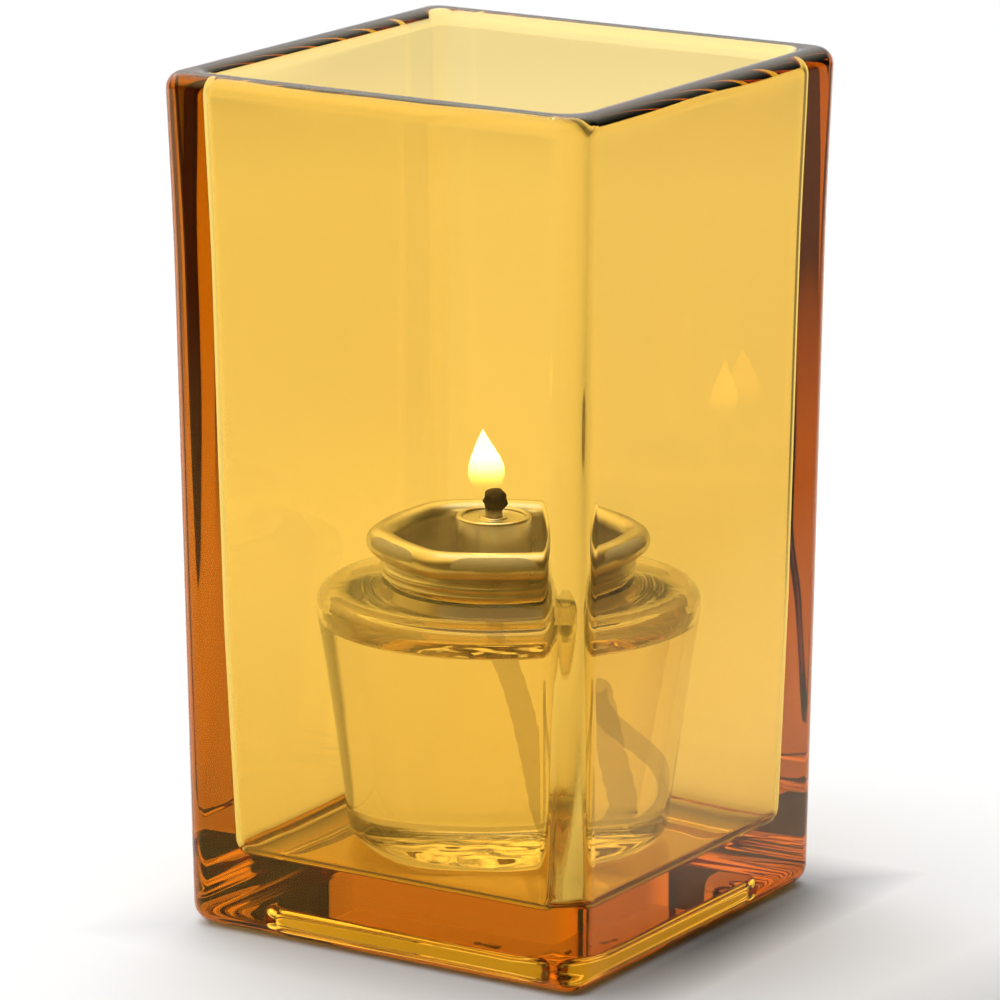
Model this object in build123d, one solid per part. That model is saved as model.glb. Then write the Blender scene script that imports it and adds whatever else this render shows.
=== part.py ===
"""Square pressed-glass tealight holder with the liquid-candle fuel cell that stands in it.

Millimetres, +Z up. The origin is the centre of the glass base, on the surface that it stands on.
Each separate physical piece is its own node and is written to parts/NODE.step.
"""
from build123d import *
import os
from math import cos, pi, radians, sin, tan

# ---- glass holder -------------------------------------------------------------------------
HOLDER_HEIGHT = 125.0
BASE_SIDE = 67.0            # outer width across flats where it stands
MOUTH_SIDE = 71.1           # outer width across flats at the rim
FLARE_START = 105.0         # below this the sides are plain draft, above it they flare a little
FLARE_START_SIDE = 69.8
OUTER_CORNER_R = 4.0        # vertical outside corners
INNER_CORNER_R = 2.4        # vertical inside corners
WALL = 5.3                  # above FLARE_START; the inside draws in below it, so the walls thicken
WAIST_HEIGHT = 45.0
WAIST_WALL = 5.6
FOOT_WALL = 6.4             # at the inside floor
BASE_THICKNESS = 10.5
BASE_EDGE_R = 3.0           # rounding around the foot
RECESS_SIDE = 48.6          # shallow square recess underneath, which leaves a flat foot ring around it
RECESS_DEPTH = 2.7
RECESS_CORNER_R = 5.0
RECESS_ROOT_R = 1.6         # rounding between the recess's walls and its ceiling
RECESS_LIP_R = 1.0          # rounding where the recess meets the foot ring
RIM_EDGE_R = 2.5            # fire-polished roundings on both edges of the rim
WELL_EDGE_R = 2.2           # rounding between the inside walls and the inside floor

# ---- fuel cell: heights are measured from the cell's own foot -----------------------------
CELL_SEAT = BASE_THICKNESS  # the cell's foot stands on the inside floor
BOTTLE_FOOT_R = 20.6
BOTTLE_SHOULDER_R = 25.6    # widest radius
SHOULDER_START = 34.3       # height where the tapered wall ends
SHOULDER_TOP = 37.4         # height of the crest of the rounded shoulder edge
SHOULDER_EDGE_R = 2.2
BOTTLE_WALL = 0.8
FOOT_EDGE_R = 3.2           # rounding around the bottle's foot
KICK_UP = 1.5               # how far the centre of the bottle's base is pushed up
KICK_UP_R = 15.0
NECK_ROOT = 39.4            # height where the sloping shoulder meets the neck
NECK_INNER_R = 14.85
NECK_OUTER_R = 15.5
FUEL_LEVEL = 33.5

# ---- drawn metal cap ----------------------------------------------------------------------
SHEET = 0.35                # metal thickness
BEAD_CENTRE_R = 16.5        # centre circle of the rolled bead
BEAD_HEIGHT = 44.5
BEAD_R = 2.0                # outside radius of the bead's section
BEAD_END_ANGLE = -105.0     # where the bead's section runs into the skirt
LIP_R = 1.2                 # the bottle's rounded lip inside the bead
SKIRT_BOTTOM = 39.85
SKIRT_RING_HEIGHT = 41.2    # small raised ring around the skirt
SKIRT_RING_R = 0.55
WELL_FLOOR = 38.5           # underside of the floor of the cap's recess

# ---- wick holder and wick -----------------------------------------------------------------
BOSS_R = 5.5                # outside radius of the thimble that stands in the recess
BOSS_TOP = 48.2
BOSS_LIP_DEPTH = 0.5        # the top plate lies this far below the thimble's lip
BOSS_FLANGE_R = 6.6
BOSS_FLANGE = 0.4
GRIP_BOTTOM = 39.0          # lower end of the tube that grips the wick
WICK_R = 1.3
WICK_TOP = 51.7
VENT_HOLE_R = 0.5
VENT_CIRCLE_R = 3.6

# The wick's free tail, from the grip tube's lower end to its cut end on the bottle's floor.
# Each point is (sideways, forwards, height); TAIL_HEADING turns that plane about the cell's axis.
TAIL_HEADING = 32.5
TAIL_ROUTE = [
    (0.0, 0.0, 39.0),
    (0.0, 0.0, 34.0),
    (1.3, 0.8, 29.0),
    (2.6, 1.7, 23.0),
    (3.6, 2.5, 17.2),
    (4.5, 3.2, 11.3),
    (5.3, 3.6, 5.8),
    (6.6, 2.6, 3.6),
    (8.6, -0.4, 3.6),
    (9.7, -2.6, 5.8),
    (8.9, -2.8, 11.3),
    (8.3, -2.8, 16.6),
    (7.8, -2.9, 21.1),
    (7.5, -2.6, 23.8),
    (7.4, -1.1, 25.5),
    (7.5, 1.0, 25.5),
    (7.8, 2.5, 23.8),
    (8.6, 2.9, 21.4),
    (10.4, 2.8, 18.8),
    (12.8, 2.5, 16.0),
    (15.8, 2.4, 12.4),
    (17.3, 2.8, 8.6),
    (15.8, 3.8, 5.4),
    (12.4, 5.2, 3.8),
]
ARC_SHARE = 0.45            # how much of its shorter run each arc takes


def rounded_square(side, corner_r, height):
    """A rounded square section, lying at one height."""
    return Plane.XY.offset(height) * RectangleRounded(side, side, corner_r)


def square_shell_stage(sides_and_heights, corner_r):
    """A solid with straight-sided stages between rounded square sections."""
    sections = [rounded_square(side, corner_r, height) for side, height in sides_and_heights]
    return loft(sections, ruled=True)


def side_at(height):
    """Outer width of the glass at a height, along the plain draft."""
    return BASE_SIDE + (FLARE_START_SIDE - BASE_SIDE) * height / FLARE_START


def edges_within(edges, side):
    """The edges whose middles lie inside, or on the sides of, an upright square about the axis."""
    reach = side / 2 + 0.01
    return [edge for edge in edges if max(abs(edge.center().X), abs(edge.center().Y)) < reach]


def make_glass_holder():
    outside = square_shell_stage(
        [(BASE_SIDE, 0.0), (FLARE_START_SIDE, FLARE_START), (MOUTH_SIDE, HOLDER_HEIGHT)],
        OUTER_CORNER_R,
    )
    foot_edges = outside.edges().group_by(Axis.Z)[0]
    outside = fillet(foot_edges, BASE_EDGE_R)
    inside = square_shell_stage(
        [
            (side_at(BASE_THICKNESS) - 2 * FOOT_WALL, BASE_THICKNESS),
            (side_at(WAIST_HEIGHT) - 2 * WAIST_WALL, WAIST_HEIGHT),
            (FLARE_START_SIDE - 2 * WALL, FLARE_START),
            (MOUTH_SIDE - 2 * WALL, HOLDER_HEIGHT),
        ],
        INNER_CORNER_R,
    )
    inside = fillet(inside.edges().group_by(Axis.Z)[0], WELL_EDGE_R)
    recess = extrude(RectangleRounded(RECESS_SIDE, RECESS_SIDE, RECESS_CORNER_R), RECESS_DEPTH)
    recess = fillet(recess.edges().group_by(Axis.Z)[-1], RECESS_ROOT_R)
    holder = outside - inside - recess
    lip_edges = edges_within(holder.edges().group_by(Axis.Z)[0], RECESS_SIDE)
    holder = fillet(lip_edges, RECESS_LIP_R)
    rim_edges = holder.edges().group_by(Axis.Z)[-1]
    return fillet(rim_edges, RIM_EDGE_R)


def spin(face):
    """Turns a section in the XZ plane about the cell's axis and stands it in the holder."""
    return Pos(0, 0, CELL_SEAT) * revolve(face, Axis.Z)


def section(points):
    """A closed straight-sided section; its points are (radius, height)."""
    return Plane.XZ * make_face(Polyline(*points, close=True))


def disc_section(centre_r, height, radius):
    return Plane.XZ * (Pos(centre_r, height) * Circle(radius))


def bottle_outline(inset):
    """Half section of the bottle's body below the neck, drawn inwards by inset."""
    foot = inset
    foot_r = BOTTLE_FOOT_R - inset
    shoulder_r = BOTTLE_SHOULDER_R - inset
    crest = SHOULDER_TOP - inset
    neck_r = NECK_INNER_R
    neck_root = NECK_ROOT - inset
    with BuildSketch(Plane.XZ) as sketch:
        with BuildLine():
            Polyline(
                (KICK_UP_R, foot),
                (foot_r, foot),
                (shoulder_r, SHOULDER_START),
                (shoulder_r, crest),
                (neck_r, neck_root),
                (0, neck_root),
                (0, foot + KICK_UP),
            )
            ThreePointArc((0, foot + KICK_UP), (KICK_UP_R * 0.55, foot + KICK_UP * 0.7), (KICK_UP_R, foot))
        make_face()
        rounded = {FOOT_EDGE_R: (foot_r, foot), SHOULDER_EDGE_R: (shoulder_r, crest)}
        for radius, (r, z) in rounded.items():
            corner = sketch.vertices().sort_by_distance(Vector(r, z))[0]
            fillet(corner, radius - inset / 2)
    return sketch.sketch


def make_fuel_bottle():
    body = bottle_outline(0.0)
    neck = section(
        [
            (NECK_INNER_R - 2.0, NECK_ROOT - 1.0),
            (NECK_OUTER_R, NECK_ROOT - 1.0),
            (NECK_OUTER_R, BEAD_HEIGHT),
            (NECK_INNER_R - 2.0, BEAD_HEIGHT),
        ]
    )
    lip = disc_section(BEAD_CENTRE_R, BEAD_HEIGHT, LIP_R)
    neck_bore = section([(0, NECK_ROOT - 3.0), (NECK_INNER_R, NECK_ROOT - 3.0),
                         (NECK_INNER_R, BEAD_HEIGHT + 3.0), (0, BEAD_HEIGHT + 3.0)])
    web = section([(NECK_INNER_R, BEAD_HEIGHT - LIP_R), (BEAD_CENTRE_R, BEAD_HEIGHT - LIP_R),
                   (BEAD_CENTRE_R, BEAD_HEIGHT + LIP_R), (NECK_INNER_R, BEAD_HEIGHT)])
    return spin(body + neck + lip + web - bottle_outline(BOTTLE_WALL) - neck_bore)


def make_lamp_fuel(tail):
    fill = bottle_outline(BOTTLE_WALL)
    above = section([(0, FUEL_LEVEL), (60, FUEL_LEVEL), (60, 60), (0, 60)])
    return spin(fill - above) - tail


def bead_point(radius, angle):
    """A point about the bead's centre; the angle is in degrees from outwards, upwards positive."""
    return (BEAD_CENTRE_R + radius * cos(radians(angle)), BEAD_HEIGHT + radius * sin(radians(angle)))


def bead_sector(inner_r, outer_r, start, end):
    """Part of a ring section about the bead's centre, between two angles."""
    middle = (start + end) / 2
    with BuildSketch(Plane.XZ) as sketch:
        with BuildLine():
            ThreePointArc(bead_point(outer_r, start), bead_point(outer_r, middle), bead_point(outer_r, end))
            Line(bead_point(outer_r, end), bead_point(inner_r, end))
            ThreePointArc(bead_point(inner_r, end), bead_point(inner_r, middle), bead_point(inner_r, start))
            Line(bead_point(inner_r, start), bead_point(outer_r, start))
        make_face()
    return sketch.sketch


def make_metal_cap():
    bead = bead_sector(BEAD_R - SHEET, BEAD_R, BEAD_END_ANGLE, 180.0)
    skirt_r, skirt_top = bead_point(BEAD_R, BEAD_END_ANGLE)
    well_r = BEAD_CENTRE_R - BEAD_R
    skirt = section([
        (skirt_r - SHEET, SKIRT_BOTTOM),
        (skirt_r, SKIRT_BOTTOM),
        (skirt_r, skirt_top),
        bead_point(BEAD_R - SHEET, BEAD_END_ANGLE),
        (skirt_r - SHEET, skirt_top),
    ])
    ring = disc_section(skirt_r - SHEET / 2, SKIRT_RING_HEIGHT, SKIRT_RING_R)
    ring_inside = section([(0, SKIRT_BOTTOM), (skirt_r - SHEET, SKIRT_BOTTOM),
                           (skirt_r - SHEET, skirt_top), (0, skirt_top)])
    well_wall = section([
        (well_r, WELL_FLOOR),
        (well_r + SHEET, WELL_FLOOR),
        (well_r + SHEET, BEAD_HEIGHT),
        (well_r, BEAD_HEIGHT),
    ])
    well_floor = section([
        (BOSS_R, WELL_FLOOR),
        (well_r + SHEET, WELL_FLOOR),
        (well_r + SHEET, WELL_FLOOR + SHEET),
        (BOSS_R, WELL_FLOOR + SHEET),
    ])
    return spin(bead + skirt + (ring - ring_inside) + well_wall + well_floor)


def make_cap_liner():
    """Soft sealing ring between the bottle's lip and the inside of the rolled bead."""
    return spin(bead_sector(LIP_R, BEAD_R - SHEET, 5.0, 150.0))


def make_wick_holder():
    top_plate = BOSS_TOP - BOSS_LIP_DEPTH - SHEET
    thimble = section([
        (BOSS_R - SHEET, WELL_FLOOR - BOSS_FLANGE),
        (BOSS_FLANGE_R, WELL_FLOOR - BOSS_FLANGE),
        (BOSS_FLANGE_R, WELL_FLOOR),
        (BOSS_R, WELL_FLOOR),
        (BOSS_R, BOSS_TOP),
        (BOSS_R - 2 * SHEET, BOSS_TOP),
        (BOSS_R - 2 * SHEET, top_plate + SHEET),
        (WICK_R, top_plate + SHEET),
        (WICK_R, GRIP_BOTTOM),
        (WICK_R + SHEET, GRIP_BOTTOM),
        (WICK_R + SHEET, top_plate),
        (BOSS_R - SHEET, top_plate),
    ])
    holder = spin(thimble)
    for side in (-1, 1):
        vent = Pos(side * VENT_CIRCLE_R, 0, CELL_SEAT + top_plate) * Cylinder(VENT_HOLE_R, 4 * SHEET)
        holder -= vent
    return holder


def make_wick():
    """The gripped and exposed length of the wick, with a mushroomed burnt end."""
    shaft = Pos(0, 0, CELL_SEAT + GRIP_BOTTOM) * Cylinder(
        WICK_R, WICK_TOP - GRIP_BOTTOM, align=(Align.CENTER, Align.CENTER, Align.MIN))
    crown = Pos(0, 0, CELL_SEAT + WICK_TOP - WICK_R) * Sphere(WICK_R * 1.3)
    return shaft + crown


def tail_points():
    """The tail's route in the part's own frame."""
    turn = radians(TAIL_HEADING)
    return [
        Vector(
            sideways * cos(turn) + forwards * sin(turn),
            sideways * sin(turn) - forwards * cos(turn),
            CELL_SEAT + height,
        )
        for sideways, forwards, height in TAIL_ROUTE
    ]


def arc_radii(points):
    """The largest arc that each corner's two runs allow."""
    radii = []
    for before, corner, after in zip(points, points[1:], points[2:]):
        arriving = corner - before
        leaving = after - corner
        half_turn = radians(arriving.get_angle(leaving)) / 2
        radii.append(ARC_SHARE * min(arriving.length, leaving.length) / tan(half_turn))
    return radii


def make_wick_tail():
    points = tail_points()
    radii = arc_radii(points)
    print("wick tail radii:", [round(radius, 1) for radius in radii])
    path = FilletPolyline(*points, radius=radii)
    start = Plane(origin=points[0], z_dir=points[1] - points[0])
    tail = sweep(start * Circle(WICK_R), path=path)
    section_volume = pi * WICK_R ** 2 * path.length
    print(f"wick tail length {path.length:.1f}, volume {tail.volume:.1f} of {section_volume:.1f}")
    return tail


wick_tail = make_wick_tail()
nodes = {
    "glass_holder": make_glass_holder(),
    "fuel_bottle": make_fuel_bottle(),
    "lamp_fuel": make_lamp_fuel(wick_tail),
    "metal_cap": make_metal_cap(),
    "cap_liner": make_cap_liner(),
    "wick_holder": make_wick_holder(),
    "wick": make_wick(),
    "wick_tail": wick_tail,
}

os.makedirs("parts", exist_ok=True)
for name, shape in nodes.items():
    export_step(shape, f"parts/{name}.step")
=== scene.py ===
"""Amber glass block holder with a lit liquid-candle fuel cell: looks, light and camera.

The scene is in metres, in the CAD model's frame. The pieces are worked out in millimetres and are
turned into metres by MM. The studio's sizes are in metres.
"""
import math

import bmesh
import bpy
from mathutils import Matrix, Vector, noise


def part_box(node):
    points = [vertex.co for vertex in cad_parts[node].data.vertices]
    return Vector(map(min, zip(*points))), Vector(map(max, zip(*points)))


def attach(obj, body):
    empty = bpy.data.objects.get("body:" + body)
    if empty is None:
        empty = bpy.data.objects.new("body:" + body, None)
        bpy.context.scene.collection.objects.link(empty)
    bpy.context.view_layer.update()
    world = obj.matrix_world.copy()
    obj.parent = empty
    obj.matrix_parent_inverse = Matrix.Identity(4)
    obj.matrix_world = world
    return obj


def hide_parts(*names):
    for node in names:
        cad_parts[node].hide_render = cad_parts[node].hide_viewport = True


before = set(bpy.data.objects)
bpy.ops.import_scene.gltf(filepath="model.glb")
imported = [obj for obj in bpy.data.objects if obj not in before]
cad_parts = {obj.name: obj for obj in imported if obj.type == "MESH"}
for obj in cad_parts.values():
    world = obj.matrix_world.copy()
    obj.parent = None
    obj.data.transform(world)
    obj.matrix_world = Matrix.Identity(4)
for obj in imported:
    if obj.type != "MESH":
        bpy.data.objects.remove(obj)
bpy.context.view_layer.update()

MM = 0.001
TAU = 2 * math.pi

# ---- places and sizes taken from the frame ------------------------------------------------
HOLDER_HIGH = Vector(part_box("glass_holder")[1])
BOTTLE_LOW, BOTTLE_HIGH = (Vector(corner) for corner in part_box("fuel_bottle"))
FUEL_HIGH = Vector(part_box("lamp_fuel")[1])
CAP_HIGH = Vector(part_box("metal_cap")[1])
BOSS_HIGH = Vector(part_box("wick_holder")[1])
WICK_HIGH = Vector(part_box("wick")[1])

# ---- glass holder, millimetres ------------------------------------------------------------
HEIGHT = HOLDER_HIGH.z / MM
MOUTH_HALF = HOLDER_HIGH.x / MM + 0.04
BASE_HALF = 33.5
FLARE_START = 96.0
FLARE = 0.35                # how much the rim stands out past the plain draft
FLARE_STRETCH = 1.2         # the rim is reached before the flare has quite ended
MOULD_WAVE = 0.10           # height and length of the waves of the inside walls
MOULD_WAVE_LENGTH = 17.0
WALL = 5.3                  # at the rim
WAIST_HEIGHT = 45.0
WAIST_WALL = 5.6
FOOT_WALL = 6.4             # at the inside floor
FLOOR = BOTTLE_LOW.z / MM
OUTER_CORNER_R = 4.0
INNER_CORNER_R = 2.4
FOOT_R = 3.0
RIM_R = 2.5
WELL_R = 2.2
RECESS_HALF = 24.3          # the shallow recess underneath
RECESS_DEPTH = 2.7
RECESS_CORNER_R = 5.0
RECESS_ROOT_R = 1.6
RECESS_LIP_R = 1.0
RING_STEP = 2.5             # height between two rings of the mesh
RING_MARGIN = 0.5           # a ring this near each rounding keeps the flat wall's shading flat

# ---- camera -------------------------------------------------------------------------------
VIEW_AZIMUTH = 32.5
VIEW_ELEVATION = 14.0
VIEW_DISTANCE = 0.925
VIEW_TARGET = Vector((0, 0, 0.060))
LENS = 230.9
SENSOR = 36.0

# ---- studio -------------------------------------------------------------------------------
FRONT = math.radians(VIEW_AZIMUTH)  # the side the camera stands on
TO_RIGHT = Vector((math.cos(FRONT), math.sin(FRONT), 0))
TO_BACK = Vector((-math.sin(FRONT), math.cos(FRONT), 0))
FLOOR_HALF = 6.0
FLOOR_GAP = 0.0002          # the paper lies this far below the foot, so that the two stay apart
CONTACT_SHADE = 0.9         # strength of the painted contact shadow: how far the paper's colour beside the foot is darkened towards the grey card
UNDER_GLOW = 0.45           # painted amber glow: emission on the paper under the base, standing in for light that the glass gathers there
BACK_LIGHT = 0.14           # painted extra light: emission on the sweep behind the holder
FAR_SHADE = 0.08            # painted shade: the sweep's colour dims this much towards grey in the distance
ROOM_LIGHT = (0.14, 0.06)   # the dim room, at its left and right
WALL_LIGHT = 1.0            # the white wall behind
BOX_LIGHT = 2.3             # the soft box overhead


# ===========================================================================================
# mesh helpers
# ===========================================================================================
def new_object(name, mesh):
    ob = bpy.data.objects.new(name, mesh)
    bpy.context.scene.collection.objects.link(ob)
    return ob


def mesh_from(name, vertices, faces, material_of_face=None):
    """A smooth-shaded mesh object; vertices in millimetres."""
    mesh = bpy.data.meshes.new(name)
    mesh.from_pydata([Vector(v) * MM for v in vertices], [], faces)
    for i, polygon in enumerate(mesh.polygons):
        polygon.use_smooth = True
        if material_of_face:
            polygon.material_index = material_of_face[i]
    mesh.update()
    return new_object(name, mesh)


def arc(centre, radius, start, end, steps):
    """Points on an arc, angles in degrees, both ends included."""
    points = []
    for i in range(steps + 1):
        angle = math.radians(start + (end - start) * i / steps)
        points.append((centre[0] + radius * math.cos(angle), centre[1] + radius * math.sin(angle)))
    return points


def rounded_path(corners, steps=8):
    """A path of (x, y, radius) corners, each corner with a radius turned into an arc."""
    points = []
    for i, (x, y, radius) in enumerate(corners):
        here = Vector((x, y))
        if not radius or i in (0, len(corners) - 1):
            points.append(here)
            continue
        back = (Vector(corners[i - 1][:2]) - here).normalized()
        ahead = (Vector(corners[i + 1][:2]) - here).normalized()
        half = back.angle(ahead) / 2
        reach = radius / math.tan(half)
        centre = here + (back + ahead).normalized() * radius / math.sin(half)
        first = here + back * reach - centre
        turn = first.angle_signed(here + ahead * reach - centre)
        for k in range(steps + 1):
            points.append(centre + Matrix.Rotation(-turn * k / steps, 2) @ first)
    return [tuple(p) for p in points]


def thickened(path, thickness):
    """A closed outline, thickness wide, about an open path."""
    left, right = [], []
    for i, point in enumerate(path):
        before = Vector(path[max(i - 1, 0)])
        after = Vector(path[min(i + 1, len(path) - 1)])
        along = (after - before).normalized()
        across = Vector((-along.y, along.x)) * thickness / 2
        left.append(tuple(Vector(point) + across))
        right.append(tuple(Vector(point) - across))
    return left + right[::-1]


def lathe(name, outline, height=0.0, segments=144, closed=True, kinds=None, wobble=None, lift=None):
    """A solid of revolution about Z from an outline of (radius, height) points.

    kinds gives the material number of each stretch of the outline, wobble(angle, z) an amount
    added to the radius, and lift(angle, r, z) an amount added to the height.
    """
    vertices, faces, materials, rings = [], [], [], []
    for r, z in outline:
        if r < 1e-6:
            rings.append([len(vertices)])
            vertices.append((0, 0, z + height + (lift(0.0, 0.0, z) if lift else 0.0)))
            continue
        ring = []
        for k in range(segments):
            angle = TAU * k / segments
            radius = r + (wobble(angle, z) if wobble else 0.0)
            ring.append(len(vertices))
            rise = lift(angle, r, z) if lift else 0.0
            vertices.append((radius * math.cos(angle), radius * math.sin(angle), z + height + rise))
        rings.append(ring)
    stretches = len(rings) if closed else len(rings) - 1
    for i in range(stretches):
        low, high = rings[i], rings[(i + 1) % len(rings)]
        if len(low) == 1 and len(high) == 1:
            continue
        for k in range(segments):
            n = (k + 1) % segments
            corners = [low[k % len(low)], low[n % len(low)], high[n % len(high)], high[k % len(high)]]
            faces.append(tuple(dict.fromkeys(corners)))
            materials.append(kinds[i] if kinds else 0)
    ob = mesh_from(name, vertices, faces, materials)
    outwards(ob)
    return ob


def tube_faces(steps, around):
    """Faces of a closed tube of steps + 1 rings, each with the same number of points around."""
    faces = []
    for i in range(steps):
        for k in range(around):
            n = (k + 1) % around
            a, b = i * around, (i + 1) * around
            faces.append((a + k, a + n, b + n, b + k))
    faces.append(tuple(reversed(range(around))))
    faces.append(tuple(range(steps * around, (steps + 1) * around)))
    return faces


def outwards(ob):
    """Turns every face of a closed mesh to face outwards."""
    bm = bmesh.new()
    bm.from_mesh(ob.data)
    bmesh.ops.recalc_face_normals(bm, faces=bm.faces)
    bm.to_mesh(ob.data)
    bm.free()


# ===========================================================================================
# materials
# ===========================================================================================
class Shader:
    """A small builder for one node material."""

    def __init__(self, name):
        self.material = bpy.data.materials.new(name)
        self.material.use_nodes = True
        self.tree = self.material.node_tree
        self.tree.nodes.clear()
        self.out = self.node("OutputMaterial")

    def node(self, kind, **settings):
        node = self.tree.nodes.new("ShaderNode" + kind)
        for key, value in settings.items():
            setattr(node, key, value)
        return node

    def link(self, source, target):
        self.tree.links.new(source, target)

    def principled(self, **values):
        shader = self.node("BsdfPrincipled")
        for key, value in values.items():
            shader.inputs[key.replace("_", " ")].default_value = value
        self.link(shader.outputs[0], self.out.inputs["Surface"])
        return shader

    def object_noise(self, scale, detail=2.0, stretch=(1, 1, 1)):
        """A noise texture that is fixed to the object; scale is in repeats to a metre."""
        place = self.node("TexCoord")
        mapping = self.node("Mapping")
        mapping.inputs["Scale"].default_value = stretch
        texture = self.node("TexNoise")
        texture.inputs["Scale"].default_value = scale
        texture.inputs["Detail"].default_value = detail
        self.link(place.outputs["Object"], mapping.inputs["Vector"])
        self.link(mapping.outputs[0], texture.inputs["Vector"])
        return texture.outputs["Fac"]

    def spread(self, source, low, high, from_low=0.3, from_high=0.7):
        """The source's middle range, brought to low to high."""
        node = self.node("MapRange")
        node.inputs["From Min"].default_value = from_low
        node.inputs["From Max"].default_value = from_high
        node.inputs["To Min"].default_value = low
        node.inputs["To Max"].default_value = high
        self.link(source, node.inputs["Value"])
        return node.outputs["Result"]

    def bump(self, shader, height, distance, strength=1.0):
        node = self.node("Bump")
        node.inputs["Strength"].default_value = strength
        node.inputs["Distance"].default_value = distance
        self.link(height, node.inputs["Height"])
        self.link(node.outputs[0], shader.inputs["Normal"])
        return node

    def ramp(self, source, stops):
        node = self.node("ValToRGB")
        elements = node.color_ramp.elements
        elements[0].position, elements[0].color = stops[0]
        elements[1].position, elements[1].color = stops[-1]
        for position, colour in stops[1:-1]:
            element = elements.new(position)
            element.color = colour
        self.link(source, node.inputs["Fac"])
        return node.outputs["Color"]


def amber_glass():
    """Pressed soda glass, coloured through its depth, with the faint waves of the mould."""
    s = Shader("amber_glass")
    glass = s.principled(Base_Color=(0.995, 0.855, 0.54, 1), IOR=1.52, Transmission_Weight=1.0,
                         Specular_Tint=(1.0, 0.72, 0.12, 1))
    waves = s.object_noise(38.0, detail=1.0, stretch=(1, 1, 0.45))
    s.bump(glass, waves, 0.00006, 0.6)
    handled = s.object_noise(160.0, detail=4.0)
    s.link(s.spread(handled, 0.0, 0.012, 0.45, 0.8), glass.inputs["Roughness"])
    depth = s.node("VolumeAbsorption")
    depth.inputs["Color"].default_value = (0.913, 0.738, 0.0, 1)
    depth.inputs["Density"].default_value = 110.0
    s.link(depth.outputs[0], s.out.inputs["Volume"])
    return s.material


def clear_plastic(name, ior):
    """Blown clear plastic with slightly uneven walls; ior is against what touches it."""
    s = Shader(name)
    plastic = s.principled(Base_Color=(0.94, 0.90, 0.79, 1), IOR=ior, Transmission_Weight=1.0,
                           Roughness=0.01)
    s.bump(plastic, s.object_noise(170.0, detail=2.0, stretch=(1, 1, 0.3)), 0.00008, 0.5)
    return s.material


def fuel_surface():
    s = Shader("fuel_surface")
    s.principled(Base_Color=(1, 1, 0.985, 1), IOR=1.45, Transmission_Weight=1.0, Roughness=0.0)
    return s.material


def fuel_side():
    """The fuel's side lies on the bottle's wall, whose own surface bends the light there."""
    s = Shader("fuel_side")
    clear = s.node("BsdfTransparent")
    s.link(clear.outputs[0], s.out.inputs["Surface"])
    return s.material


def drawn_metal():
    """Bright drawn aluminium, softly uneven, with a little soot and oil haze."""
    s = Shader("drawn_metal")
    metal = s.principled(Base_Color=(0.80, 0.77, 0.70, 1), Metallic=1.0, Roughness=0.16)
    haze = s.object_noise(260.0, detail=3.0)
    s.link(s.ramp(haze, [(0.3, (0.70, 0.66, 0.58, 1)), (0.7, (0.86, 0.83, 0.76, 1))]),
           metal.inputs["Base Color"])
    s.link(s.spread(haze, 0.27, 0.36), metal.inputs["Roughness"])
    s.bump(metal, s.object_noise(120.0, detail=1.0, stretch=(1, 1, 2.0)), 0.00015, 0.5)
    return s.material


def sealing_rubber():
    s = Shader("sealing_rubber")
    rubber = s.principled(Base_Color=(0.85, 0.84, 0.8, 1), Roughness=0.6)
    s.bump(rubber, s.object_noise(2500.0), 0.00002, 0.5)
    return s.material


def wick_fibre(name="wick_fibre", burnt=False):
    """Woven wick, cream where it is clean. Light comes through it, more so where fuel soaks it."""
    s = Shader(name)
    grain = s.object_noise(2600.0, detail=4.0, stretch=(1, 1, 0.5))
    colour = s.ramp(grain, [(0.3, (0.90, 0.78, 0.62, 1)), (0.7, (1.0, 0.94, 0.84, 1))])
    if burnt:
        colour = burnt_above(s, colour, BOSS_HIGH.z, BOSS_HIGH.z + 1.0 * MM)
    fibre = s.principled(Roughness=0.8, Specular_IOR_Level=0.3)
    s.link(colour, fibre.inputs["Base Color"])
    s.bump(fibre, grain, 0.00012, 0.6)
    if not burnt:
        through = s.node("BsdfTranslucent")
        s.link(colour, through.inputs["Color"])
        soaked = s.node("BsdfTransparent")
        lit = mixed(s, fibre, through, 0.5)
        s.link(mixed(s, lit, soaked, SOAKED).outputs[0], s.out.inputs["Surface"])
    return s.material


def mixed(s, first, second, share):
    mix = s.node("MixShader")
    mix.inputs["Fac"].default_value = share
    s.link(first.outputs[0], mix.inputs[1])
    s.link(second.outputs[0], mix.inputs[2])
    return mix


def burnt_above(s, clean, low, high):
    """The clean colour, turning to brown-black soot from the low height to the high one."""
    place = s.node("TexCoord")
    split = s.node("SeparateXYZ")
    s.link(place.outputs["Object"], split.inputs[0])
    soot = s.node("MapRange")
    soot.inputs["From Min"].default_value = low
    soot.inputs["From Max"].default_value = high
    s.link(split.outputs["Z"], soot.inputs["Value"])
    mix = s.node("Mix", data_type="RGBA")
    s.link(soot.outputs["Result"], mix.inputs["Factor"])
    s.link(clean, mix.inputs["A"])
    mix.inputs["B"].default_value = (0.035, 0.018, 0.010, 1)
    return mix.outputs["Result"]


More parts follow.
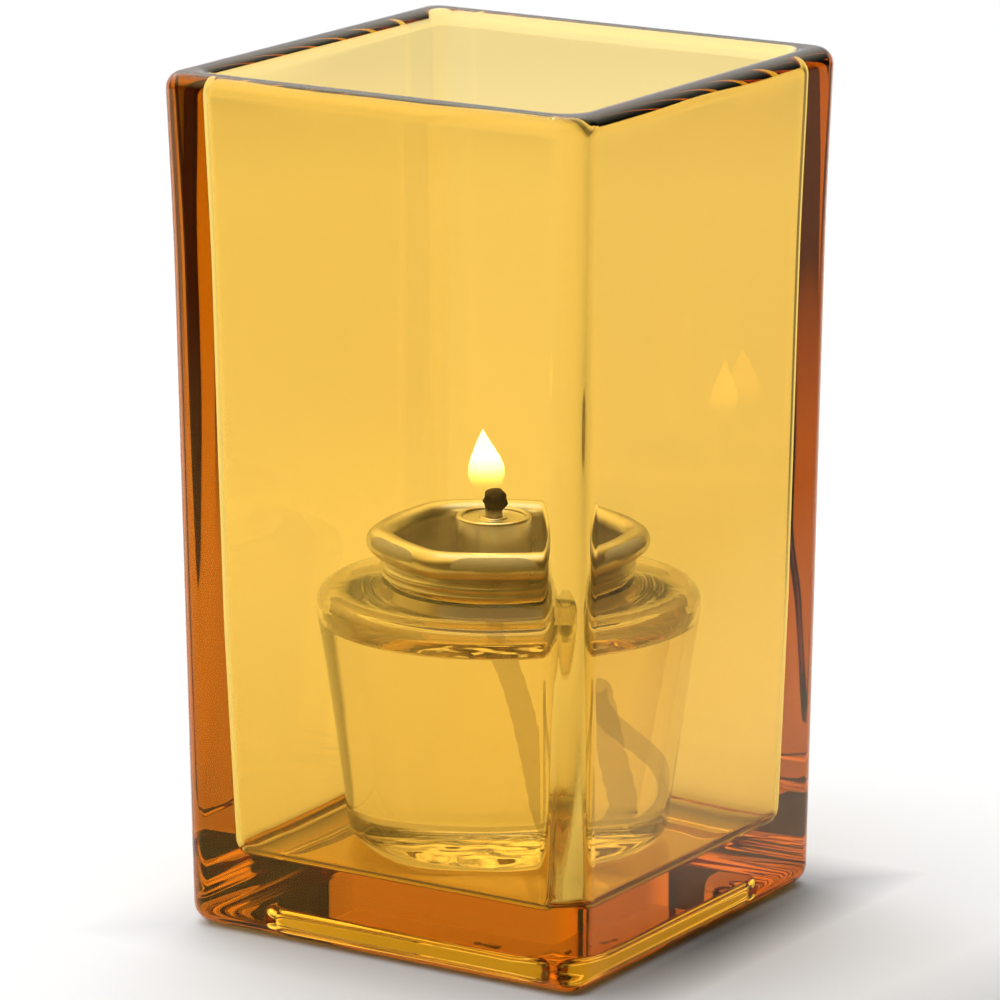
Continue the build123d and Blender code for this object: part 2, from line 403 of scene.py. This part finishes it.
def flame_glow(low, high):
    """White-hot above, soft yellow below, fading out at its edges and to nothing at its foot."""
    s = Shader("flame_glow")
    place = s.node("TexCoord")
    split = s.node("SeparateXYZ")
    s.link(place.outputs["Object"], split.inputs[0])
    up = s.node("MapRange")
    up.inputs["From Min"].default_value = low
    up.inputs["From Max"].default_value = high
    s.link(split.outputs["Z"], up.inputs["Value"])
    glow = s.node("Emission")
    glow.inputs["Strength"].default_value = 4.0
    s.link(s.ramp(up.outputs["Result"], [
        (0.0, (0.55, 0.36, 0.08, 1)),
        (0.18, (0.80, 0.62, 0.22, 1)),
        (0.38, (1.0, 0.93, 0.62, 1)),
        (0.55, (1.0, 1.0, 0.95, 1)),
        (1.0, (1.0, 0.93, 0.75, 1)),
    ]), glow.inputs["Color"])
    shape = s.ramp(up.outputs["Result"], [
        (0.0, (0, 0, 0, 1)),
        (0.16, (0.3, 0.3, 0.3, 1)),
        (0.36, (0.85, 0.85, 0.85, 1)),
        (1.0, (1, 1, 1, 1)),
    ])
    facing = s.node("LayerWeight")
    facing.inputs["Blend"].default_value = 0.5
    body = s.spread(facing.outputs["Facing"], 1.0, 0.0, 0.55, 1.0)
    thickness = s.node("Math", operation="MULTIPLY")
    s.link(shape, thickness.inputs[0])
    s.link(body, thickness.inputs[1])
    clear = s.node("BsdfTransparent")
    mix = s.node("MixShader")
    s.link(thickness.outputs[0], mix.inputs["Fac"])
    s.link(clear.outputs[0], mix.inputs[1])
    s.link(glow.outputs[0], mix.inputs[2])
    s.link(mix.outputs[0], s.out.inputs["Surface"])
    return s.material


# ===========================================================================================
# glass holder
# ===========================================================================================
def smoothed(t):
    t = min(max(t, 0.0), 1.0)
    return t * t * (3 - 2 * t)


def outer_half(z):
    """Half width of the outside at a height: plain draft, with a small flare at the rim."""
    draft = (MOUTH_HALF - FLARE - BASE_HALF) / HEIGHT
    flared = smoothed((z - FLARE_START) / (HEIGHT - FLARE_START) / FLARE_STRETCH)
    return BASE_HALF + draft * z + FLARE * flared


def inner_half(z):
    """Half width of the inside at a height; the walls thicken towards the inside floor."""
    low = WAIST_WALL + (FOOT_WALL - WAIST_WALL) * (WAIST_HEIGHT - z) / (WAIST_HEIGHT - FLOOR)
    high = WAIST_WALL + (WALL - WAIST_WALL) * smoothed((z - WAIST_HEIGHT) / (HEIGHT - WAIST_HEIGHT))
    return outer_half(z) - (low if z < WAIST_HEIGHT else high)


def square_ring(half, corner_r, z, side_steps=22, arc_steps=10, margin=0.35):
    """Points around a rounded square, with their outward directions.

    Each side has a point close to either corner, so that its smooth shading stays flat.
    """
    points = []
    flat = half - corner_r
    for quarter in range(4):
        turn = Matrix.Rotation(quarter * TAU / 4, 2)
        side = [-flat, -flat + margin]
        side += [-flat + margin + (2 * flat - 2 * margin) * k / side_steps for k in range(1, side_steps)]
        side += [flat - margin]
        for along in side:
            points.append((turn @ Vector((half, along)), turn @ Vector((1, 0)), z))
        for k in range(arc_steps):
            angle = TAU / 4 * k / arc_steps
            away = Vector((math.cos(angle), math.sin(angle)))
            points.append((turn @ (Vector((flat, flat)) + away * corner_r), turn @ away, z))
    return points


def heights_between(low, high, step):
    count = max(int((high - low) / step), 1)
    return [low + (high - low) * k / count for k in range(1, count)]


def recess_profile():
    """The rings of the recess underneath, from the middle of its ceiling to the foot ring."""
    rings = []
    flat = RECESS_HALF - RECESS_ROOT_R
    for inset in (8.0, 0.3):
        rings.append((flat - inset, RECESS_CORNER_R - RECESS_ROOT_R, RECESS_DEPTH, False))
    for x, z in arc((flat, RECESS_DEPTH - RECESS_ROOT_R), RECESS_ROOT_R, 90, 0, 6):
        rings.append((x, RECESS_CORNER_R - (RECESS_HALF - x), z, False))
    for x, z in arc((RECESS_HALF + RECESS_LIP_R, RECESS_LIP_R), RECESS_LIP_R, 180, 270, 6):
        rings.append((x, RECESS_CORNER_R + (x - RECESS_HALF), z, False))
    rings.append((RECESS_HALF + RECESS_LIP_R + 0.3, RECESS_CORNER_R + RECESS_LIP_R, 0.0, False))
    return rings


def holder_profile():
    """(half width, corner radius, height, is inside) of every ring.

    The rings run from underneath, up the outside, over the rim and down to the inside floor.
    """
    rings = recess_profile()
    foot_half = outer_half(FOOT_R)
    rings.append((foot_half - FOOT_R - 0.3, OUTER_CORNER_R - FOOT_R, 0.0, False))
    for x, z in arc((foot_half - FOOT_R, FOOT_R), FOOT_R, -90, 0, 8):
        rings.append((x, OUTER_CORNER_R - (foot_half - x), z, False))
    foot_end = FOOT_R + RING_MARGIN
    rim_start = HEIGHT - RIM_R
    below_rim = rim_start - RING_MARGIN
    rings.append((outer_half(foot_end), OUTER_CORNER_R, foot_end, False))
    for z in heights_between(foot_end, below_rim, RING_STEP):
        rings.append((outer_half(z), OUTER_CORNER_R, z, False))
    top = outer_half(rim_start)
    rings.append((outer_half(below_rim), OUTER_CORNER_R, below_rim, False))
    for x, z in arc((top - RIM_R, rim_start), RIM_R, 0, 90, 8):
        rings.append((x, OUTER_CORNER_R - (top - x), z, False))
    mouth = inner_half(rim_start)
    for x, z in arc((mouth + RIM_R, rim_start), RIM_R, 90, 180, 8):
        rings.append((x, INNER_CORNER_R + (x - mouth), z, True))
    rings.append((inner_half(below_rim), INNER_CORNER_R, below_rim, True))
    well_end = FLOOR + WELL_R + RING_MARGIN
    for z in reversed(heights_between(well_end, below_rim, RING_STEP)):
        rings.append((inner_half(z), INNER_CORNER_R, z, True))
    low = inner_half(FLOOR + WELL_R)
    rings.append((inner_half(well_end), INNER_CORNER_R, well_end, True))
    for x, z in arc((low - WELL_R, FLOOR + WELL_R), WELL_R, 0, -90, 8):
        rings.append((x, max(INNER_CORNER_R - (low - x), 0.6), z, True))
    for inset in (0.6, 8.0):
        rings.append((low - WELL_R - inset, INNER_CORNER_R, FLOOR, True))
    return rings


def make_holder():
    """One closed mesh of rounded square rings; the inside walls carry the mould's slight waves."""
    vertices, faces, rings = [], [], []
    for half, corner_r, z, inside in holder_profile():
        ring = []
        for place, away, height in square_ring(half, corner_r, z):
            push = 0.0
            if inside and FLOOR + WELL_R < z < HEIGHT - RIM_R:
                spot = Vector((place.x, place.y, height * 0.6)) / MOULD_WAVE_LENGTH
                push = MOULD_WAVE * noise.noise(spot)
            ring.append(len(vertices))
            vertices.append((place.x + away.x * push, place.y + away.y * push, height))
        rings.append(ring)
    for low, high in zip(rings, rings[1:]):
        for k in range(len(low)):
            n = (k + 1) % len(low)
            faces.append((low[k], low[n], high[n], high[k]))
    faces.append(tuple(reversed(rings[0])))
    faces.append(tuple(rings[-1]))
    holder = mesh_from("glass_holder_visual", vertices, faces)
    outwards(holder)
    return holder


# ===========================================================================================
# fuel cell: heights are millimetres above the cell's foot
# ===========================================================================================
FOOT = BOTTLE_LOW.z / MM
FOOT_GAP = 0.03             # the foot stands this far off the glass, so that the two surfaces stay apart
FUEL_LEVEL = FUEL_HIGH.z / MM - FOOT
FUEL_GAP = 0.02             # between the fuel's mesh and the bottle's
MENISCUS = 0.28             # how far the fuel creeps up at its edge
CAP_TOP = CAP_HIGH.z / MM - FOOT
BOSS_TOP = BOSS_HIGH.z / MM - FOOT
FOOT_R_CELL = 20.6
FOOT_EDGE_R = 3.2
SHOULDER_R = BOTTLE_HIGH.x / MM
SHOULDER_START = 34.3
SHOULDER_CREST = 37.4
SHOULDER_LOW_EDGE_R = 3.0   # roundings below and above the shoulder's short upright
SHOULDER_EDGE_R = 1.9
KICK_UP = 1.5               # height and radius of the dome under the base
KICK_UP_R = 15.0
PUCKER = 0.38               # how deep the blown base puckers
NECK_ROOT = 39.4
NECK_IN_R = 14.85
NECK_OUT_R = 15.5
BEAD_CENTRE = (16.5, 44.5)
BEAD_R = CAP_TOP - BEAD_CENTRE[1]
SKIRT_RING = 41.2           # height of the small raised ring around the skirt
SKIRT_BOTTOM = 39.85
LIP_R = 1.2
PLASTIC = 0.8
SHEET = 0.35
WELL_FLOOR = 38.5
BOSS_R = 5.5
WICK_R = 1.3
GRIP_BOTTOM = 39.0
SOAKED = 0.78               # how clear the fuel makes the wick's fibres
FLAME_HEIGHT = 8.4
FLAME_GAP = 0.3             # between the wick's end and the flame


def bottle_wall(inset):
    """The bottle's outline from the middle of its base to the foot of its neck, drawn in by inset."""
    kick = [(KICK_UP_R * k / 20, inset + KICK_UP * (1 - (k / 20) ** 2)) for k in range(20)]
    foot_r = FOOT_R_CELL - inset
    neck_r = NECK_IN_R if inset else NECK_OUT_R
    wall = rounded_path([
        (KICK_UP_R, inset, 0),
        (foot_r, inset, FOOT_EDGE_R - inset / 2),
        (SHOULDER_R - inset, SHOULDER_START, SHOULDER_LOW_EDGE_R),
        (SHOULDER_R - inset, SHOULDER_CREST - inset, SHOULDER_EDGE_R - inset / 2),
        (neck_r, NECK_ROOT - inset, 0.35 if inset else 0),
        (neck_r, NECK_ROOT + 1.5, 0),
    ])
    return kick + wall


def make_bottle(dry, wet):
    """A closed shell. Where the fuel touches it inside, its surface bends light only a little."""
    outside = bottle_wall(0.0)
    lip = arc(BEAD_CENTRE, LIP_R, -120, 180, 14)
    inside = [p for p in bottle_wall(PLASTIC) if p[1] < NECK_ROOT + 1.0][::-1]
    outline = outside + lip + [(NECK_IN_R, BEAD_CENTRE[1] - 0.8)] + with_level(inside)
    kinds = []
    for i, (r, z) in enumerate(outline):
        following = outline[(i + 1) % len(outline)]
        is_inside = i >= len(outside) + len(lip)
        kinds.append(1 if is_inside and max(z, following[1]) <= FUEL_LEVEL + 1e-6 else 0)
    bottle = lathe("fuel_bottle_visual", outline, FOOT + FOOT_GAP, 160, closed=False, kinds=kinds,
                   lift=blown_base)
    bottle.data.materials.append(dry)
    bottle.data.materials.append(wet)
    return bottle


def blown_base(angle, r, z):
    """How far the base's skin stands up or down from its even dome: blown plastic puckers there."""
    x, y = r * math.cos(angle), r * math.sin(angle)
    puckers = noise.noise(Vector((x, y, 3.0)) / 4.2) + 0.5 * noise.noise(Vector((x, y, 9.0)) / 1.9)
    return PUCKER * puckers * smoothed((FOOT_R_CELL - 1.0 - r) / 5) * smoothed((3.5 - z) / 1.5)


def with_level(path):
    """The path, going down, with a point put in at the fuel's level."""
    result = []
    for a, b in zip(path, path[1:] + path[-1:]):
        result.append(a)
        if a[1] > FUEL_LEVEL > b[1]:
            share = (a[1] - FUEL_LEVEL) / (a[1] - b[1])
            result.append((a[0] + (b[0] - a[0]) * share, FUEL_LEVEL))
    return result


def make_fuel(surface, side):
    """The fuel's body, just inside the bottle's wall, with a slight meniscus at its edge."""
    walls = [point for point in bottle_wall(PLASTIC) if point[1] < FUEL_LEVEL - 0.05]
    inside = [(max(r - FUEL_GAP, 0.0), z + FUEL_GAP) for r, z in walls]
    slope = (SHOULDER_R - FOOT_R_CELL) / SHOULDER_START
    edge_r = inside[-1][0] + slope * (FUEL_LEVEL - inside[-1][1])
    top = FUEL_LEVEL - FUEL_GAP
    meniscus = [(edge_r, top)]
    for k in range(1, 8):
        meniscus.append((edge_r - 0.25 * k, top - MENISCUS * (1 - math.exp(-k / 2))))
    outline = inside + meniscus + [(0.0, top - MENISCUS - 0.01)]
    kinds = [1] * len(inside) + [0] * (len(outline) - len(inside))
    fuel = lathe("lamp_fuel_visual", outline, FOOT + FOOT_GAP, 160, closed=False, kinds=kinds,
                 lift=blown_base)
    fuel.data.materials.append(surface)
    fuel.data.materials.append(side)
    return fuel


def bead_lobes(angle, z):
    """The crimping rollers leave the rolled bead slightly six-sided; the skirt stays round."""
    amount = smoothed((z - SKIRT_RING + 0.2) / 2.5)
    turned = angle - FRONT
    return amount * 0.45 * (math.cos(6 * turned) - 1 + 0.2 * math.cos(12 * turned) - 0.2)


def make_cap(metal):
    """One drawn sheet: recess floor, recess wall, rolled bead, and skirt with a raised ring."""
    middle_r = BEAD_R - SHEET / 2
    well_r = BEAD_CENTRE[0] - middle_r
    floor = rounded_path([
        (BOSS_R + 0.1, WELL_FLOOR + SHEET / 2, 0),
        (well_r, WELL_FLOOR + SHEET / 2, 0.8),
        (well_r, BEAD_CENTRE[1] - 0.6, 0),
    ])
    bead = arc(BEAD_CENTRE, middle_r, 180, -105, 30)
    skirt_r = bead[-1][0]
    skirt = rounded_path([
        (skirt_r, SKIRT_RING + 1.2, 0),
        (skirt_r, SKIRT_RING + 0.65, 0.3),
        (skirt_r + 0.45, SKIRT_RING, 0.45),
        (skirt_r, SKIRT_RING - 0.65, 0.3),
        (skirt_r, SKIRT_BOTTOM + 0.25, 0.3),
        (skirt_r + 0.25, SKIRT_BOTTOM, 0),
    ], steps=5)
    sheet = thickened(floor + bead + skirt, SHEET)
    cap = lathe("metal_cap_visual", sheet, FOOT, 192, wobble=bead_lobes)
    cap.data.materials.append(metal)
    return cap


def make_boss(metal):
    """The wick holder: a thimble with a raised lip, a sunk top plate and a grip tube."""
    plate = BOSS_TOP - 0.5 - SHEET / 2
    wall_r = BOSS_R - SHEET / 2
    path = rounded_path([
        (BOSS_R + 1.1, WELL_FLOOR - 0.2, 0),
        (wall_r, WELL_FLOOR - 0.2, 0.3),
        (wall_r, BOSS_TOP - SHEET / 2, 0.25),
        (wall_r - 0.5, BOSS_TOP - SHEET / 2, 0.25),
        (wall_r - 0.6, plate, 0.3),
        (WICK_R + 0.75, plate, 0.3),
        (WICK_R + 0.55, plate + 0.35, 0.2),
        (WICK_R + SHEET / 2 + 0.02, plate + 0.3, 0.2),
        (WICK_R + SHEET / 2 + 0.02, GRIP_BOTTOM, 0),
    ], steps=5)
    boss = lathe("wick_holder_visual", thickened(path, SHEET), FOOT, 96)
    boss.data.materials.append(metal)
    return boss


def braid_radius(angle, z, radius):
    """Crossing ridges of a braided cord."""
    twist = z * 1.15
    ridge = max(math.cos(4 * angle + twist * 2), math.cos(4 * angle - twist * 2))
    return radius * (0.93 + 0.09 * ridge)


def make_wick(fibre):
    """The braided stub, with a burnt, mushroomed, slightly leaning end."""
    low = GRIP_BOTTOM
    high = WICK_HIGH.z / MM - FOOT
    steps, around = 90, 40
    vertices = []
    for i in range(steps + 1):
        z = low + (high - low) * i / steps
        burnt = smoothed((z - BOSS_TOP - 0.4) / 1.4)
        crown = math.sqrt(max(1 - max((z - high + 1.3) / 1.3, 0.0) ** 2, 0.0))
        for k in range(around):
            angle = TAU * k / around
            rough = noise.noise(Vector((math.cos(angle) * 1.6, math.sin(angle) * 1.6, z * 1.3 + 7)))
            radius = braid_radius(angle, z, WICK_R * 0.97) * (1 + burnt * (0.32 + 0.35 * rough)) * crown
            x = radius * math.cos(angle) + 0.28 * burnt
            y = radius * math.sin(angle) + 0.105 * burnt
            vertices.append((x, y, z + FOOT))
    wick = mesh_from("wick_visual", vertices, tube_faces(steps, around))
    outwards(wick)
    wick.data.materials.append(fibre)
    return wick


# The tail's route, the same points as the CAD's: (sideways, forwards, height) in millimetres.
TAIL_HEADING = 32.5         # the way "sideways" points, in degrees from +X towards +Y
TAIL_ROUTE = [
    (0.0, 0.0, 39.0),
    (0.0, 0.0, 34.0),
    (1.3, 0.8, 29.0),
    (2.6, 1.7, 23.0),
    (3.6, 2.5, 17.2),
    (4.5, 3.2, 11.3),
    (5.3, 3.6, 5.8),
    (6.6, 2.6, 3.6),
    (8.6, -0.4, 3.6),
    (9.7, -2.6, 5.8),
    (8.9, -2.8, 11.3),
    (8.3, -2.8, 16.6),
    (7.8, -2.9, 21.1),
    (7.5, -2.6, 23.8),
    (7.4, -1.1, 25.5),
    (7.5, 1.0, 25.5),
    (7.8, 2.5, 23.8),
    (8.6, 2.9, 21.4),
    (10.4, 2.8, 18.8),
    (12.8, 2.5, 16.0),
    (15.8, 2.4, 12.4),
    (17.3, 2.8, 8.6),
    (15.8, 3.8, 5.4),
    (12.4, 5.2, 3.8),
]


def tail_line():
    """Points along the smooth line of the tail, read from its NURBS spline, in metres."""
    turn = math.radians(TAIL_HEADING)
    curve = bpy.data.curves.new("wick_tail_line", "CURVE")
    curve.dimensions = "3D"
    curve.resolution_u = 10
    spline = curve.splines.new("NURBS")
    spline.points.add(len(TAIL_ROUTE) - 1)
    for point, (sideways, forwards, height) in zip(spline.points, TAIL_ROUTE):
        x = sideways * math.cos(turn) + forwards * math.sin(turn)
        y = sideways * math.sin(turn) - forwards * math.cos(turn)
        point.co = (x * MM, y * MM, (height + FOOT) * MM, 1)
    spline.order_u = 3
    spline.use_endpoint_u = True
    holder = bpy.data.objects.new("wick_tail_line", curve)
    line = bpy.data.meshes.new_from_object(holder)
    points = [v.co.copy() for v in line.vertices]
    bpy.data.objects.remove(holder)
    bpy.data.curves.remove(curve)
    bpy.data.meshes.remove(line)
    return points


def evenly(points, step):
    """The line again, with points one step apart."""
    result = [points[0]]
    carried = 0.0
    for a, b in zip(points, points[1:]):
        length = (b - a).length
        while carried + length >= step:
            share = (step - carried) / length
            a = a.lerp(b, share)
            length = (b - a).length
            carried = 0.0
            result.append(a.copy())
        carried += length
    result.append(points[-1])
    return result


def tube_about(points, radius_at, around=28):
    """Vertices and faces, in millimetres, of a closed tube whose radius may vary."""
    vertices = []
    side = Vector((1, 0, 0))
    travelled = 0.0
    for i, point in enumerate(points):
        along = (points[min(i + 1, len(points) - 1)] - points[max(i - 1, 0)]).normalized()
        side = (side - along * side.dot(along)).normalized()
        up = along.cross(side)
        if i:
            travelled += (point - points[i - 1]).length / MM
        for k in range(around):
            angle = TAU * k / around
            spread = radius_at(angle, travelled, i)
            offset = side * math.cos(angle) * spread + up * math.sin(angle) * spread
            vertices.append(point / MM + offset)
    return vertices, tube_faces(len(points) - 1, around)


def make_tail(fibre):
    """The braided tail, a little frayed and wider at its cut end."""
    points = evenly(tail_line(), 0.25 * MM)
    last = len(points) - 1

    def radius_at(angle, travelled, i):
        frayed = smoothed((i - last + 14) / 14)
        return braid_radius(angle, travelled, WICK_R * 0.96) * (1 + 0.12 * frayed)

    vertices, faces = tube_about(points, radius_at)
    tail = mesh_from("wick_tail_visual", vertices, faces)
    outwards(tail)
    tail.data.materials.append(fibre)
    return tail, points


def make_flame():
    """A small still flame that stands on the wick's burnt end."""
    foot = WICK_HIGH.z / MM + FLAME_GAP
    outline = [(0.0, 2.1), (0.10, 2.55), (0.22, 2.75), (0.36, 2.65), (0.50, 2.25), (0.64, 1.65),
               (0.78, 1.05), (0.90, 0.5), (1.0, 0.03)]
    steps, around = 48, 40
    vertices = []
    for i in range(steps + 1):
        t = i / steps
        radius = eased(outline, t)
        lean = -1.05 - 0.55 * smoothed((t - 0.3) / 0.7)
        for k in range(around):
            angle = TAU * k / around
            vertices.append((
                radius * math.cos(angle) + lean * math.cos(FRONT),
                radius * math.sin(angle) + lean * math.sin(FRONT),
                foot + FLAME_HEIGHT * t,
            ))
    flame = mesh_from("flame", vertices, tube_faces(steps, around))
    outwards(flame)
    flame.data.materials.append(flame_glow(foot * MM, (foot + FLAME_HEIGHT) * MM))
    return flame


def eased(points, t):
    """The value at t of a curve through (t, value) points."""
    for (t0, v0), (t1, v1) in zip(points, points[1:]):
        if t <= t1:
            share = (t - t0) / (t1 - t0)
            return v0 + (v1 - v0) * (share + smoothed(share)) / 2
    return points[-1][1]


# ===========================================================================================
# studio
# ===========================================================================================
def make_floor():
    """A white sweep. Grey cards lie to the right and in front, out of the picture, so that only
    the sweep behind shows bright through the glass.
    """
    mesh = bpy.data.meshes.new("floor")
    corners = [(-FLOOR_HALF, -FLOOR_HALF, 0), (FLOOR_HALF, -FLOOR_HALF, 0),
               (FLOOR_HALF, FLOOR_HALF, 0), (-FLOOR_HALF, FLOOR_HALF, 0)]
    mesh.from_pydata(corners, [], [(0, 1, 2, 3)])
    floor = new_object("floor", mesh)
    floor.location.z = -FLOOR_GAP
    s = Shader("studio_floor")
    place = s.node("TexCoord")

    def along(direction):
        dot = s.node("VectorMath", operation="DOT_PRODUCT")
        dot.inputs[1].default_value = direction
        s.link(place.outputs["Object"], dot.inputs[0])
        return dot.outputs["Value"]

    def combine(operation, first, second):
        node = s.node("Math", operation=operation)
        s.link(first, node.inputs[0])
        if isinstance(second, float):
            node.inputs[1].default_value = second
        else:
            s.link(second, node.inputs[1])
        return node.outputs[0]

    to_right = along(TO_RIGHT)
    to_back = along(TO_BACK)
    right_card = combine("SUBTRACT", to_right, combine("MULTIPLY", to_back, 0.8))
    front_card = combine("MULTIPLY", to_back, -1.0)
    edge = combine("MAXIMUM", right_card, front_card)
    far = s.spread(to_back, 0.0, FAR_SHADE, 0.52, 0.70)
    paper = s.principled(Roughness=0.7, Specular_IOR_Level=0.1)

    # How far a place is from the holder's middle, measured square to its sides.
    side = combine("MAXIMUM", combine("ABSOLUTE", along((1, 0, 0)), 0.0),
                   combine("ABSOLUTE", along((0, 1, 0)), 0.0))

    # The holder's shadow, painted into the paper's colour, darkest against its right side; the distant
    # sweep's painted shade joins it.
    painted_shade = s.spread(side, CONTACT_SHADE, 0.0, 0.035, 0.046)
    painted_shade = combine("MULTIPLY", painted_shade, s.spread(to_right, 0.2, 1.0, 0.004, 0.030))
    painted_shade = combine("MULTIPLY", painted_shade, s.spread(to_back, 1.0, 0.0, -0.010, 0.045))
    painted_shade = combine("MAXIMUM", painted_shade, far)
    # The paper's colour: grey cards, plus the painted shadow beside the foot and the painted shade in
    # the distance.
    card_and_painted_shade = s.ramp(combine("MAXIMUM", s.spread(edge, 0.0, 1.0, 0.085, 0.16), painted_shade), [
        (0.0, (0.94, 0.94, 0.94, 1)),
        (1.0, (0.16, 0.16, 0.16, 1)),
    ])
    s.link(card_and_painted_shade, paper.inputs["Base Color"])

    # Painted light: amber emission on the paper in the recess, and white emission on the sweep behind
    # the holder.
    under = s.spread(side, UNDER_GLOW, 0.0, 0.026, 0.030)
    behind = combine("MULTIPLY", s.spread(to_back, 0.0, 1.0, 0.05, 0.25),
                     s.spread(to_back, BACK_LIGHT, 0.0, 0.52, 0.70))
    s.link(s.ramp(under, [(0.0, (1.0, 1.0, 1.0, 1)), (UNDER_GLOW, (1.0, 0.64, 0.03, 1))]),
           paper.inputs["Emission Color"])
    s.link(combine("ADD", under, behind), paper.inputs["Emission Strength"])
    floor.data.materials.append(s.material)


def make_world():
    """The studio's light: a big soft box overhead, high on the left, and a white wall behind."""
    world = bpy.data.worlds.new("studio")
    bpy.context.scene.world = world
    world.use_nodes = True
    tree = world.node_tree
    tree.nodes.clear()
    out = tree.nodes.new("ShaderNodeOutputWorld")
    background = tree.nodes.new("ShaderNodeBackground")
    place = tree.nodes.new("ShaderNodeTexCoord")

    def along(direction, reach, strengths):
        dot = tree.nodes.new("ShaderNodeVectorMath")
        dot.operation = "DOT_PRODUCT"
        dot.inputs[1].default_value = direction
        ramp = tree.nodes.new("ShaderNodeMapRange")
        ramp.interpolation_type = "SMOOTHSTEP"
        ramp.inputs["From Min"].default_value, ramp.inputs["From Max"].default_value = reach
        ramp.inputs["To Min"].default_value, ramp.inputs["To Max"].default_value = strengths
        tree.links.new(place.outputs["Generated"], dot.inputs[0])
        tree.links.new(dot.outputs["Value"], ramp.inputs["Value"])
        return ramp.outputs["Result"]

    def plus(first, second):
        total = tree.nodes.new("ShaderNodeMath")
        total.operation = "ADD"
        tree.links.new(first, total.inputs[0])
        tree.links.new(second, total.inputs[1])
        return total.outputs[0]

    wall = along(TO_BACK, (0.45, 0.72), (0.0, WALL_LIGHT))
    room = along(TO_RIGHT, (-1.0, 1.0), ROOM_LIGHT)
    over = (TO_BACK * 0.25 - TO_RIGHT * 0.3 + Vector((0, 0, 1))).normalized()
    box = along(over, (0.42, 0.9), (0.0, BOX_LIGHT))
    tree.links.new(plus(plus(wall, room), box), background.inputs["Strength"])
    tree.links.new(background.outputs[0], out.inputs["Surface"])


def make_camera():
    elevation = math.radians(VIEW_ELEVATION)
    back = -TO_BACK * math.cos(elevation) + Vector((0, 0, math.sin(elevation)))
    data = bpy.data.cameras.new("camera")
    camera = bpy.data.objects.new("camera", data)
    bpy.context.scene.collection.objects.link(camera)
    camera.location = VIEW_TARGET + back * VIEW_DISTANCE
    camera.rotation_euler = back.to_track_quat("Z", "Y").to_euler()
    data.lens = LENS
    data.sensor_width = SENSOR
    data.shift_x = -0.003
    data.shift_y = 0.003
    data.clip_start = 0.01
    bpy.context.scene.camera = camera


def set_light_paths():
    """Enough bounces for light that runs along the glass walls and through the fuel."""
    scene = bpy.context.scene
    scene.view_settings.view_transform = "Standard"
    cycles = scene.cycles
    cycles.max_bounces = 40
    cycles.transmission_bounces = 40
    cycles.transparent_max_bounces = 40
    cycles.glossy_bounces = 12


# ===========================================================================================
# assembly
# ===========================================================================================
def place(piece, body, slot, *nodes):
    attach(piece, body)
    if nodes:
        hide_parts(*nodes)


def main():
    holder = make_holder()
    holder.data.materials.append(amber_glass())
    place(holder, "holder", "amber_glass", "glass_holder")

    dry = clear_plastic("clear_plastic", 1.50)
    wet = clear_plastic("clear_plastic_wet", 1.034)
    place(make_bottle(dry, wet), "fuel_cell", "clear_plastic", "fuel_bottle")
    place(make_fuel(fuel_surface(), fuel_side()), "fuel_cell", "clear_fuel", "lamp_fuel")

    metal = drawn_metal()
    place(make_cap(metal), "fuel_cell", "cap_metal", "metal_cap")
    place(make_boss(metal), "fuel_cell", "cap_metal", "wick_holder")
    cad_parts["cap_liner"].data.materials.clear()
    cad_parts["cap_liner"].data.materials.append(sealing_rubber())

    place(make_wick(wick_fibre("wick_fibre_burnt", burnt=True)), "fuel_cell", "wick_fibre", "wick")
    tail, line = make_tail(wick_fibre())
    place(tail, "fuel_cell", "wick_fibre", "wick_tail")
    place(make_flame(), "fuel_cell", "flame")

    make_floor()
    make_world()
    make_camera()
    set_light_paths()


main()
